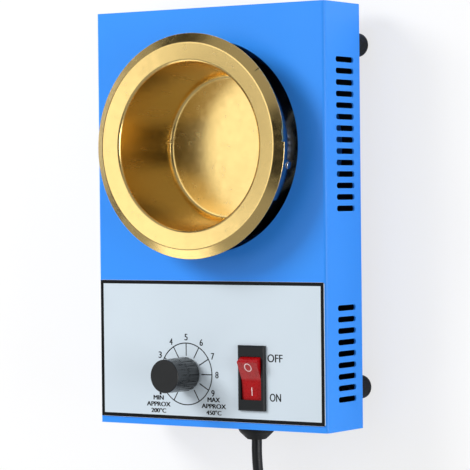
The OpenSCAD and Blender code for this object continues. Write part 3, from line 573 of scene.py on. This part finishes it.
def wear(node, material):
    """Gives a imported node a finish."""
    piece = frame["nodes"][node]
    if not piece.material_slots:
        piece.data.materials.append(material)
    for slot in piece.material_slots:
        slot.material = material


# --- Meshes --------------------------------------------------------------------------------------

def piece_from(name, mesh, material, body):
    """Adds a mesh to the scene as a piece that rides on a body."""
    piece = bpy.data.objects.new(name, mesh)
    bpy.context.scene.collection.objects.link(piece)
    piece.data.materials.clear()
    piece.data.materials.append(material)
    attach(piece, body)


def mesh_from(name, work):
    """Turns a bmesh into a mesh with outward faces, and frees it."""
    bmesh.ops.recalc_face_normals(work, faces=work.faces)
    mesh = bpy.data.meshes.new(name)
    work.to_mesh(mesh)
    work.free()
    return mesh


def add_ring(work, outer, inner, low, high):
    """A closed ring between two outlines with as many points each, as lists of (x, y)."""
    count = len(outer)
    rows = [[work.verts.new((x, y, z)) for x, y in outline]
            for outline, z in ((outer, low), (outer, high), (inner, high), (inner, low))]
    for a, b in zip(rows, rows[1:] + rows[:1]):
        for i in range(count):
            work.faces.new((a[i], a[(i + 1) % count], b[(i + 1) % count], b[i]))


def add_prism(work, outline, low, high):
    """A closed block over an outline given as (x, y)."""
    bottom = [work.verts.new((x, y, low)) for x, y in outline]
    top = [work.verts.new((x, y, high)) for x, y in outline]
    work.faces.new(bottom[::-1])
    work.faces.new(top)
    count = len(outline)
    for i in range(count):
        work.faces.new((bottom[i], bottom[(i + 1) % count], top[(i + 1) % count], top[i]))


def circle(x, y, radius, steps=96):
    """Outline of a circle round (x, y)."""
    angles = [math.tau * i / steps for i in range(steps)]
    return [(x + radius * math.cos(angle), y + radius * math.sin(angle)) for angle in angles]


def oblong(x0, y0, x1, y1):
    """Outline of a rectangle between two corners."""
    return [(x0, y0), (x1, y0), (x1, y1), (x0, y1)]


def bar(x, y, angle, start, end, width):
    """Outline of a straight line that runs out from (x, y) at a compass angle in degrees."""
    turn = math.radians(angle)
    along = Vector((math.sin(turn), math.cos(turn)))
    side = Vector((math.cos(turn), -math.sin(turn))) * width / 2
    corners = ((start, -1), (end, -1), (end, 1), (start, 1))
    return [tuple(Vector((x, y)) + along * r + side * s) for r, s in corners]


def add_text(work, text, x, y, width, height, weight, low, high):
    """Letters of a width and height, centred on (x, y), struck twice weight apart."""
    curve = bpy.data.curves.new("letters", "FONT")
    curve.body = text
    curve.extrude = 0.1
    curve.resolution_u = 6
    holder = bpy.data.objects.new("letters", curve)
    bpy.context.scene.collection.objects.link(holder)
    bpy.context.view_layer.update()
    shaped = holder.evaluated_get(bpy.context.evaluated_depsgraph_get())
    letters = bpy.data.meshes.new_from_object(shaped)
    bpy.data.objects.remove(holder)
    bpy.data.curves.remove(curve)
    xs, ys = [v.co.x for v in letters.vertices], [v.co.y for v in letters.vertices]
    middle_x, middle_y = (min(xs) + max(xs)) / 2, (min(ys) + max(ys)) / 2
    scale_x, scale_y = (width - weight) / (max(xs) - min(xs)), height / (max(ys) - min(ys))
    for vertex in letters.vertices:
        vertex.co = (x - weight / 2 + (vertex.co.x - middle_x) * scale_x,
                     y + (vertex.co.y - middle_y) * scale_y, low if vertex.co.z < 0 else high)
    work.from_mesh(letters)
    for vertex in letters.vertices:
        vertex.co.x += weight
    work.from_mesh(letters)
    bpy.data.meshes.remove(letters)


def drop_onto(node, mesh, lift):
    """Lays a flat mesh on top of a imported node: each point goes straight down to its surface."""
    packed = frame["nodes"][node].data
    faces = [tuple(face.vertices) for face in packed.polygons]
    tree = BVHTree.FromPolygons([vertex.co for vertex in packed.vertices], faces)
    for vertex in mesh.vertices:
        hit = tree.ray_cast(Vector((vertex.co.x, vertex.co.y, 1.0)), Vector((0, 0, -1)))[0]
        if hit is None:
            raise RuntimeError(f"{mesh.name} reaches past {node}")
        vertex.co.z = hit.z + (lift if vertex.co.z > 0 else -lift)


# --- Camera and mains lead ------------------------------------------------------------------------

class SOLDERPOT_OT_camera(bpy.types.Operator):
    """Stand the camera over the right side of the pot"""

    bl_idname = "solderpot.camera"
    bl_label = "Camera"

    def execute(self, context):
        studio = settings("pot_studio")
        back = -Vector(studio.camera_aim).normalized()
        right = Vector(studio.camera_up).cross(back).normalized()
        up = back.cross(right)
        data = bpy.data.cameras.new("camera")
        data.lens = studio.lens
        data.sensor_width = 36
        data.clip_start, data.clip_end = 0.05, 20
        camera = bpy.data.objects.new("camera", data)
        context.scene.collection.objects.link(camera)
        turn = Matrix((right, up, back)).transposed().to_4x4()
        camera.matrix_world = Matrix.Translation(studio.camera_place) @ turn
        context.scene.camera = camera
        return {"FINISHED"}


# The lead's own points, in millimetres: out of the gland and down to the bench, and up to the plug
LEAD_START = [
    (15.5, -92, 26.5), (15.5, -102, 26.5), (15.5, -109, 26.5), (15.5, -116, 26.5),
    (15.5, -126, 25.1), (15.5, -136, 20.5), (15.5, -143, 14.5), (15.5, -150, 8.5),
    (15.5, -159, 4), (15.5, -168, 2.6), (15.5, -172, 2.6),
]
LEAD_END = [
    (13, -212, 7.8), (13, -215, 7.8), (13, -220, 8.4), (13, -226, 9.5), (13, -231, 10),
    (13, -234, 10),
]
COIL_X, COIL_Y = -23.5, -192         # middle of the coil
COIL_LOW, COIL_HIGH = 2.6, 7.8       # heights of the two layers
CLIMB_TURNS = 0.5                    # part of a turn in which the lead climbs to the upper layer
CLIMB_DIP = 0.6                      # how far it leans inwards there
TURN_STEPS = 24                      # points in each turn
END_STEPS = 3                        # steps between two of the lead's own points


def coil_points(lead):
    """Centreline of the coil in millimetres: in along the bench, up, and out again on top."""
    outer, inner, top = lead.coil_outer / MM, lead.coil_inner / MM, lead.coil_top / MM
    climb_end = lead.turns_low + CLIMB_TURNS
    steps = round((climb_end + lead.turns_high) * TURN_STEPS)
    points = []
    for i in range(steps + 1):
        turn = i / TURN_STEPS
        climb = min(max((turn - lead.turns_low) / CLIMB_TURNS, 0), 1)
        if turn <= lead.turns_low:
            radius = outer + (inner - outer) * turn / lead.turns_low
        elif turn <= climb_end:
            radius = inner - CLIMB_DIP * math.sin(math.pi * climb)
        else:
            radius = inner + (top - inner) * (turn - climb_end) / lead.turns_high
        eased = 0.7 * climb + 0.3 * climb * climb * (3 - 2 * climb)
        angle = -math.tau * turn
        height = COIL_LOW + (COIL_HIGH - COIL_LOW) * eased
        points.append((COIL_X + radius * math.cos(angle), COIL_Y + radius * math.sin(angle),
                       height))
    return points


def smooth_line(points, steps):
    """A smooth curve through the points, with a number of steps between each two."""
    p = [Vector(q) for q in points]
    last = len(p) - 1
    line = []
    for i in range(last):
        a, b, c, d = p[max(i - 1, 0)], p[i], p[i + 1], p[min(i + 2, last)]
        for k in range(steps):
            t = k / steps
            line.append(0.5 * (2 * b + (c - a) * t + (2 * a - 5 * b + 4 * c - d) * t * t
                               + (3 * b - a - 3 * c + d) * t * t * t))
    return line + [p[last]]


class SOLDERPOT_OT_mains_lead(bpy.types.Operator):
    """Lay the mains lead from its gland to its coil and its plug"""

    bl_idname = "solderpot.mains_lead"
    bl_label = "Mains Lead"

    def execute(self, context):
        lead = settings("pot_lead")
        coil = coil_points(lead)
        line = smooth_line(LEAD_START, END_STEPS) + coil + smooth_line(LEAD_END, END_STEPS)
        curve = bpy.data.curves.new("mains_lead", "CURVE")
        curve.dimensions = "3D"
        curve.bevel_depth = lead.diameter / 2
        curve.bevel_resolution = 5
        curve.use_fill_caps = True
        spline = curve.splines.new("POLY")
        spline.points.add(len(line) - 1)
        for point, place in zip(spline.points, line):
            point.co = (*(Vector(place) * MM), 1.0)
        spline.use_smooth = True
        cord = bpy.data.objects.new("mains_lead", curve)
        context.scene.collection.objects.link(cord)
        curve.materials.append(lead_sheath())
        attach(cord, "case")
        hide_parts("power_cord", "cord_coil", "cord_end")
        return {"FINISHED"}


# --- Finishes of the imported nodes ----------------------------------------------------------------

TICK_STEP = 30                       # degrees between two ticks of the dial's scale
SCALE_HALF = 150                     # degrees from the scale's middle to either end
MIDDLE_NUMBER, LAST_NUMBER = 5, 9
NARROW_ONE = 0.6                     # width of the figure 1, as a share of the others
BORDER_INSET = 0.1 * MM              # bare edge outside the label's border
THIN, BOLD = 0.16 * MM, 0.3 * MM     # weight of the two kinds of letters
NOTE_TOP = 12.1 * MM                 # from the dial's axis down to the first row of words
NOTE_PITCH, NOTE_HEIGHT = 3.15 * MM, 2.2 * MM
SWITCH_WORD_HEIGHT = 3.8 * MM

# Words below the dial: place beside its axis, then each row's text and width, in millimetres
NOTES = (
    (-16.8, (("MIN", 6.2), ("APPROX", 14.4), ("200°C", 9.0))),
    (16.0, (("MAX", 7.4), ("APPROX", 14.4), ("450°C", 9.0))),
)
# Words beside the switch: text, place from its axis and width, in millimetres
SWITCH_WORDS = (("OFF", 12.9, 9.8, 8.6), ("ON", 12.9, -9.0, 6.4))

# The two marks on the rocker, counted from its axis
MARK_O_PLACE, MARK_O_OUTER, MARK_O_INNER = 5.3 * MM, 2.0 * MM, 1.6 * MM
MARK_I_START, MARK_I_END, MARK_I_WIDTH = 4.4 * MM, 8.4 * MM, 0.42 * MM
MARK_LIFT = 0.03 * MM
MARK_STEPS = 48


class SOLDERPOT_OT_case(bpy.types.Operator):
    """Paint the cover and the tray, and finish the feet and the gland"""

    bl_idname = "solderpot.case"
    bl_label = "Case and Feet"

    def execute(self, context):
        case = settings("pot_case")
        paint = powder_coat("blue_powder_coat", case.paint)
        for node in ("cover", "base_tray"):
            wear(node, paint)
        rubber = soft_rubber("black_rubber", case.rubber)
        for node in ("feet", "cord_gland"):
            wear(node, rubber)
        wear("gland_nut", moulded_plastic("gland_nylon", case.plastic))
        threads = threaded_plate()
        for node in ("foot_screws", "foot_nuts", "board_screws", "pot_screws"):
            wear(node, threads)
        return {"FINISHED"}


class SOLDERPOT_OT_crucible(bpy.types.Operator):
    """Finish the crucible, its riveted drum, the heater and the insulation"""

    bl_idname = "solderpot.crucible"
    bl_label = "Crucible and Drum"

    def execute(self, context):
        wear("crucible", gold_coating())
        steel = polished_steel("polished_steel", settings("pot_crucible").band)
        for node in ("pot_band", "band_rivets"):
            wear(node, steel)
        zinc = zinc_plate()
        for node in ("pot_pan", "heater_clamp", "pot_spacers"):
            wear(node, zinc)
        wear("heater_band", mica_sheet())
        wool = ceramic_wool()
        for node in ("insulation_sleeve", "insulation_disc"):
            wear(node, wool)
        return {"FINISHED"}


class SOLDERPOT_OT_panel(bpy.types.Operator):
    """Finish the label and print its border, the dial's scale and the switch's words"""

    bl_idname = "solderpot.panel"
    bl_label = "Control Panel"

    def execute(self, context):
        case, scale = settings("pot_case"), settings("pot_scale")
        wear("control_panel", label_film())
        ink = printing_ink("printing_ink", case.ink)
        low, high = PANEL_HIGH.z - scale.ink_height, PANEL_HIGH.z + scale.ink_height

        border = bmesh.new()
        sides = [oblong(PANEL_LOW.x + reach, PANEL_LOW.y + reach,
                        PANEL_HIGH.x - reach, PANEL_HIGH.y - reach)
                 for reach in (BORDER_INSET, BORDER_INSET + scale.border)]
        add_ring(border, *sides, low, high)
        piece_from("panel_border", mesh_from("panel_border", border), ink, "case")

        x, y = DIAL_AXIS.x, DIAL_AXIS.y
        ring = bmesh.new()
        add_ring(ring, circle(x, y, scale.ring_radius + scale.line / 2),
                 circle(x, y, scale.ring_radius - scale.line / 2), low, high)
        for angle in range(-SCALE_HALF, SCALE_HALF + 1, TICK_STEP):
            tick = bar(x, y, angle, scale.tick_start, scale.ring_radius, scale.line)
            add_prism(ring, tick, low, high)
        piece_from("dial_scale", mesh_from("dial_scale", ring), ink, "case")

        words = bmesh.new()
        for number in range(1, LAST_NUMBER + 1):
            turn = math.radians((number - MIDDLE_NUMBER) * TICK_STEP)
            narrow = NARROW_ONE if number == 1 else 1.0
            add_text(words, str(number), x + scale.number_radius * math.sin(turn),
                     y + scale.number_radius * math.cos(turn), scale.number_width * narrow,
                     scale.number_height, THIN, low, high)
        for side, rows in NOTES:
            for row, (text, width) in enumerate(rows):
                add_text(words, text, x + side * MM, y - NOTE_TOP - row * NOTE_PITCH, width * MM,
                         NOTE_HEIGHT, BOLD, low, high)
        for text, aside, along, width in SWITCH_WORDS:
            add_text(words, text, ROCKER_AXIS.x + aside * MM, ROCKER_AXIS.y + along * MM,
                     width * MM, SWITCH_WORD_HEIGHT, THIN, low, high)
        piece_from("panel_words", mesh_from("panel_words", words), ink, "case")
        return {"FINISHED"}


class SOLDERPOT_OT_dial(bpy.types.Operator):
    """Finish the knob, its shaft and the control that it turns"""

    bl_idname = "solderpot.dial"
    bl_label = "Dial"

    def execute(self, context):
        wear("knob", knob_plastic())
        steel = machined_metal("turned_steel", screen_colour("#c4c7c9"), 0.26)
        for node in ("dial_shaft", "dial_washer", "dial_nut", "dial_control"):
            wear(node, steel)
        return {"FINISHED"}


class SOLDERPOT_OT_switch(bpy.types.Operator):
    """Finish the rocker switch and print its two marks"""

    bl_idname = "solderpot.switch"
    bl_label = "Rocker Switch"

    def execute(self, context):
        wear("switch_body", moulded_plastic("switch_plastic", settings("pot_case").plastic, 0.36))
        wear("rocker", rocker_plastic())
        wear("switch_terminals", machined_metal("terminal_brass", screen_colour("#d2b26a"), 0.3))
        white = printing_ink("white_ink", screen_colour("#f2d5d5"))
        x, y = ROCKER_AXIS.x, ROCKER_AXIS.y
        marks = bmesh.new()
        add_ring(marks, circle(x, y + MARK_O_PLACE, MARK_O_OUTER, MARK_STEPS),
                 circle(x, y + MARK_O_PLACE, MARK_O_INNER, MARK_STEPS), -MARK_LIFT, MARK_LIFT)
        add_prism(marks, bar(x, y, 180, MARK_I_START, MARK_I_END, MARK_I_WIDTH),
                  -MARK_LIFT, MARK_LIFT)
        mesh = mesh_from("rocker_marks", marks)
        drop_onto("rocker", mesh, MARK_LIFT)
        piece_from("rocker_marks", mesh, white, "switch_rocker")
        return {"FINISHED"}


class SOLDERPOT_OT_power_board(bpy.types.Operator):
    """Finish the board under the panel and the parts on it"""

    bl_idname = "solderpot.power_board"
    bl_label = "Power Board"

    def execute(self, context):
        wear("circuit_board", board_laminate())
        wear("board_spacers", zinc_plate())
        wear("triac", moulded_plastic("package_epoxy", screen_colour("#1d1f22"), 0.45))
        wear("heat_sink", machined_metal("extruded_aluminium", screen_colour("#a9adb2"), 0.38))
        wear("film_capacitors", moulded_plastic("dipped_resin", screen_colour("#a32a22"), 0.22))
        wear("choke", wound_copper())
        wear("terminal_block", moulded_plastic("block_nylon", screen_colour("#3c8a58"), 0.42))
        return {"FINISHED"}


class SOLDERPOT_OT_wiring(bpy.types.Operator):
    """Finish the wires inside the case and the earth screw"""

    bl_idname = "solderpot.wiring"
    bl_label = "Wiring"

    def execute(self, context):
        wear("dial_wires", wire_jacket("grey_wire", screen_colour("#7d8085")))
        wear("heater_leads", glass_sleeving())
        wear("mains_wires", mains_conductors())
        wear("earth_wire", striped_earth())
        wear("earth_screw", machined_metal("screw_brass", screen_colour("#cfae66"), 0.3))
        return {"FINISHED"}


class SOLDERPOT_OT_plug(bpy.types.Operator):
    """Finish the moulded plug and its blades"""

    bl_idname = "solderpot.plug"
    bl_label = "Plug"

    def execute(self, context):
        wear("plug_body", soft_rubber("plug_vinyl", settings("pot_lead").sheath, 0.45))
        wear("plug_pins", machined_metal("nickel_blades", screen_colour("#cfd0cc"), 0.18))
        return {"FINISHED"}


# --- Studio --------------------------------------------------------------------------------------

FLOOR_HALF = 4.0
FLOOR_GLOW = 0.7                     # share of plain white that the camera sees in the floor

# Soft lamps: name, place, size, the setting that holds its power, and whether metal mirrors it
LAMPS = (
    ("key_lamp", (-0.82, 0.64, 0.85), 0.5, "key_power", False),
    ("top_panel", (-0.42, 0.24, 1.15), 0.9, "panel_power", True),
    ("low_lamp", (-0.7, -0.85, 0.5), 0.6, "low_power", True),
    ("side_lamp", (1.25, -0.1, 0.35), 0.7, "side_power", True),
)
CAMERA_CARD_HALF = 0.45
CARD_THICKNESS = 2 * MM
# Dark cards away from the camera: name, place and half width
CARDS = (
    ("dark_card_far", (-0.67, 0.9, 0.45), 0.24),
    ("dark_card_left", (-1.1, 0.0, 0.2), 0.34),
)


def soft_lamp(name, place, aim, size, power):
    """A square soft lamp that stands at place and looks at aim."""
    data = bpy.data.lights.new(name, "AREA")
    data.shape = "SQUARE"
    data.size = size
    data.energy = power
    lamp = bpy.data.objects.new(name, data)
    bpy.context.scene.collection.objects.link(lamp)
    lamp.location = place
    lamp.rotation_mode = "QUATERNION"
    lamp.rotation_quaternion = (Vector(aim) - Vector(place)).to_track_quat("-Z", "Y")
    lamp.visible_camera = False
    return lamp


def dark_card(name, place, aim, half):
    """A dark card that faces the pot, so that its metal has something dark to reflect."""
    turn = (Vector(aim) - Vector(place)).to_track_quat("Z", "Y").to_matrix().to_4x4()
    work = bmesh.new()
    add_prism(work, oblong(-half, -half, half, half), 0, CARD_THICKNESS)
    bmesh.ops.transform(work, matrix=Matrix.Translation(place) @ turn, verts=work.verts)
    card = bpy.data.objects.new(name, mesh_from(name, work))
    bpy.context.scene.collection.objects.link(card)
    felt = Finish("black_felt", screen_colour("#101010"), 0.9, Specular_IOR_Level=0.0)
    felt.vary(0.2, 0.02)
    card.data.materials.append(felt.material)
    card.visible_camera = False


class SOLDERPOT_OT_stage(bpy.types.Operator):
    """Lay the floor and light the pot"""

    bl_idname = "solderpot.stage"
    bl_label = "Stage"

    def execute(self, context):
        studio = settings("pot_studio")
        scene = context.scene
        scene.view_settings.view_transform = "Standard"

        work = bmesh.new()
        outline = oblong(-FLOOR_HALF, -FLOOR_HALF, FLOOR_HALF, FLOOR_HALF)
        work.faces.new([work.verts.new((x, y, 0)) for x, y in outline])
        floor = bpy.data.objects.new("floor", mesh_from("floor", work))
        scene.collection.objects.link(floor)
        paper = Finish("floor_paper", studio.floor, 0.9, Specular_IOR_Level=0.0)
        paper.vary(-0.01, 0.3)
        glow = paper.add("ShaderNodeEmission")
        path = paper.add("ShaderNodeLightPath")
        blend = paper.add("ShaderNodeMixShader")
        share = paper.math("MULTIPLY", path.outputs["Is Camera Ray"], FLOOR_GLOW)
        paper.join(share, blend.inputs[0])
        paper.join(paper.shader.outputs[0], blend.inputs[1])
        paper.join(glow.outputs[0], blend.inputs[2])
        paper.join(blend.outputs[0], paper.tree.nodes["Material Output"].inputs["Surface"])
        floor.data.materials.append(paper.material)

        for name, place, size, power, mirrored in LAMPS:
            lamp = soft_lamp(name, place, POT_AXIS, size, getattr(studio, power))
            lamp.visible_glossy = mirrored
        dark_card("dark_card", Vector(studio.camera_place), POT_AXIS, CAMERA_CARD_HALF)
        for name, place, card_half in CARDS:
            dark_card(name, place, POT_AXIS, card_half)

        world = bpy.data.worlds.new("studio")
        scene.world = world
        world.use_nodes = True
        nodes, links = world.node_tree.nodes, world.node_tree.links
        path = nodes.new("ShaderNodeLightPath")
        seen = nodes.new("ShaderNodeMath")
        seen.operation = "MAXIMUM"
        links.new(path.outputs["Is Camera Ray"], seen.inputs[0])
        links.new(path.outputs["Is Transmission Ray"], seen.inputs[1])
        strength = nodes.new("ShaderNodeMapRange")
        strength.inputs["To Min"].default_value = studio.sky
        strength.inputs["To Max"].default_value = 1.0
        links.new(seen.outputs[0], strength.inputs["Value"])
        links.new(strength.outputs[0], nodes["Background"].inputs["Strength"])
        nodes["Background"].inputs["Color"].default_value = (1, 1, 1, 1)
        return {"FINISHED"}


# --- Panel, registration and run -----------------------------------------------------------------

OPERATORS = (
    SOLDERPOT_OT_camera,
    SOLDERPOT_OT_mains_lead,
    SOLDERPOT_OT_case,
    SOLDERPOT_OT_crucible,
    SOLDERPOT_OT_panel,
    SOLDERPOT_OT_dial,
    SOLDERPOT_OT_switch,
    SOLDERPOT_OT_power_board,
    SOLDERPOT_OT_wiring,
    SOLDERPOT_OT_plug,
    SOLDERPOT_OT_stage,
)


class SOLDERPOT_PT_tools(bpy.types.Panel):
    """Lists the pot's settings and the steps that make it"""

    bl_idname = "SOLDERPOT_PT_tools"
    bl_label = "Solder Pot"
    bl_space_type = "VIEW_3D"
    bl_region_type = "UI"
    bl_category = "Solder Pot"

    def draw(self, context):
        for operator in OPERATORS:
            self.layout.operator(operator.bl_idname)
        for name, group in SETTINGS.items():
            box = self.layout.box()
            for setting in group.__annotations__:
                box.prop(getattr(context.scene, name), setting)


def register():
    """Adds the settings, the operators and the panel to Blender"""
    for group in SETTINGS.values():
        bpy.utils.register_class(group)
    for name, group in SETTINGS.items():
        setattr(bpy.types.Scene, name, bpy.props.PointerProperty(type=group))
    for operator in OPERATORS:
        bpy.utils.register_class(operator)
    bpy.utils.register_class(SOLDERPOT_PT_tools)


def unregister():
    """Takes them out again, in the opposite order"""
    bpy.utils.unregister_class(SOLDERPOT_PT_tools)
    for operator in reversed(OPERATORS):
        bpy.utils.unregister_class(operator)
    for name, group in SETTINGS.items():
        delattr(bpy.types.Scene, name)
        bpy.utils.unregister_class(group)


def main():
    """Makes the whole pot and its stage"""
    register()
    for operator in OPERATORS:
        family, name = operator.bl_idname.split(".")
        getattr(getattr(bpy.ops, family), name)()


if __name__ == "__main__":
    main()
